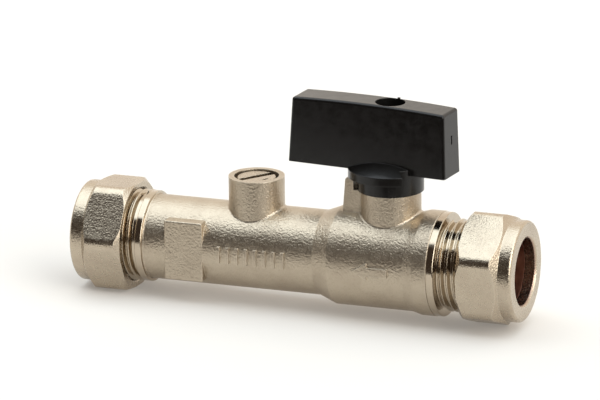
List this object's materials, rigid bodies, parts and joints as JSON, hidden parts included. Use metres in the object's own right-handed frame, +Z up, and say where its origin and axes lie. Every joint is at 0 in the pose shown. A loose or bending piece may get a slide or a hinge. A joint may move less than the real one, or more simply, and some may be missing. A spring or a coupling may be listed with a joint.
{
  "type": "lever isolating valve",
  "caption": "In-line quarter-turn lever ball valve with compression nuts at both ends, a screwed test plug and two check cartridges in its tube.",
  "frame": {"origin": "middle of the footprint, on the surface that the two hexagon nuts rest on", "axes": "+X along the pipe towards the inlet nut beside the lever, +Z up along the stem, -Y the front with the cast arrow"},
  "size_m": [0.1056, 0.0268, 0.05],
  "materials": {
    "nickel_plating": "nickel-plated brass, satin with a fine blasted grain",
    "turned_brass": "bare turned brass",
    "copper": "soft copper-coloured brass",
    "chromed_ball": "polished hard chrome",
    "ptfe": "white PTFE",
    "nitrile": "black nitrile rubber",
    "acetal": "white acetal",
    "spring_steel": "bright spring steel",
    "lever_plastic": "black moulded nylon, satin",
    "zinc_steel": "zinc-plated steel"
  },
  "bodies": {
    "valve": {"valve_body": "nickel_plating", "inlet_adaptor": "nickel_plating", "adaptor_seal": "nitrile", "inlet_seat": "ptfe", "outlet_seat": "ptfe", "stem_thrust_washer": "ptfe", "check_retaining_ring": "spring_steel", "upstream_check_housing": "acetal", "upstream_check_o_ring": "nitrile", "upstream_check_guide": "acetal", "upstream_check_spring": "spring_steel", "downstream_check_housing": "acetal", "downstream_check_o_ring": "nitrile", "downstream_check_guide": "acetal", "downstream_check_spring": "spring_steel"},
    "lever": {"lever_handle": "lever_plastic", "stem": "turned_brass", "handle_screw": "zinc_steel", "stem_o_ring_lower": "nitrile", "stem_o_ring_upper": "nitrile"},
    "ball": {"ball": "chromed_ball"},
    "inlet_olive": {"inlet_olive": "copper"},
    "inlet_nut": {"inlet_nut": "nickel_plating"},
    "outlet_olive": {"outlet_olive": "copper"},
    "outlet_nut": {"outlet_nut": "nickel_plating"},
    "test_plug_seal": {"test_plug_seal": "nitrile"},
    "test_plug": {"test_plug": "nickel_plating"},
    "upstream_poppet": {"upstream_check_poppet": "acetal", "upstream_check_seal": "nitrile"},
    "downstream_poppet": {"downstream_check_poppet": "acetal", "downstream_check_seal": "nitrile"}
  },
  "joints": [
    {"name": "lever_turn", "type": "hinge", "parent": "valve", "child": "lever", "pos_m": [0.02095, 0, 0.01328], "axis": [0, 0, 1], "range_deg": [-84.2, 5.8]},
    {"name": "ball_turn", "type": "hinge", "parent": "valve", "child": "ball", "pos_m": [0.02095, 0, 0.01328], "axis": [0, 0, 1], "range_deg": [-84.2, 5.8]},
    {"name": "inlet_nut_travel", "type": "slide", "parent": "valve", "child": "inlet_olive", "axis": [1, 0, 0], "range_m": [-0.0015, 0.0045]},
    {"name": "inlet_nut_turn", "type": "hinge", "parent": "inlet_olive", "child": "inlet_nut", "pos_m": [0, 0, 0.01328], "axis": [1, 0, 0], "range_deg": [-360, 1080]},
    {"name": "outlet_nut_travel", "type": "slide", "parent": "valve", "child": "outlet_olive", "axis": [1, 0, 0], "range_m": [-0.0045, 0.0015]},
    {"name": "outlet_nut_turn", "type": "hinge", "parent": "outlet_olive", "child": "outlet_nut", "pos_m": [0, 0, 0.01328], "axis": [1, 0, 0], "range_deg": [-1080, 360]},
    {"name": "test_plug_travel", "type": "slide", "parent": "valve", "child": "test_plug_seal", "axis": [0, 0, 1], "range_m": [0, 0.00625]},
    {"name": "test_plug_turn", "type": "hinge", "parent": "test_plug_seal", "child": "test_plug", "pos_m": [-0.01122, 0, 0.01328], "axis": [0, 0, 1], "range_deg": [0, 1800]},
    {"name": "upstream_poppet_slide", "type": "slide", "parent": "valve", "child": "upstream_poppet", "axis": [-1, 0, 0], "range_m": [0, 0.002], "stiffness_N_per_m": 100, "springref_m": -0.003, "deforming": ["upstream_check_spring"]},
    {"name": "downstream_poppet_slide", "type": "slide", "parent": "valve", "child": "downstream_poppet", "axis": [-1, 0, 0], "range_m": [0, 0.002], "stiffness_N_per_m": 100, "springref_m": -0.003, "deforming": ["downstream_check_spring"]}
  ],
  "couplings": [
    {"joint": "ball_turn", "follows": "lever_turn", "ratio": 1},
    {"joint": "inlet_nut_travel", "follows": "inlet_nut_turn", "m_per_rad": 0.00023873},
    {"joint": "outlet_nut_travel", "follows": "outlet_nut_turn", "m_per_rad": 0.00023873},
    {"joint": "test_plug_travel", "follows": "test_plug_turn", "m_per_rad": 0.00019894}
  ]
}
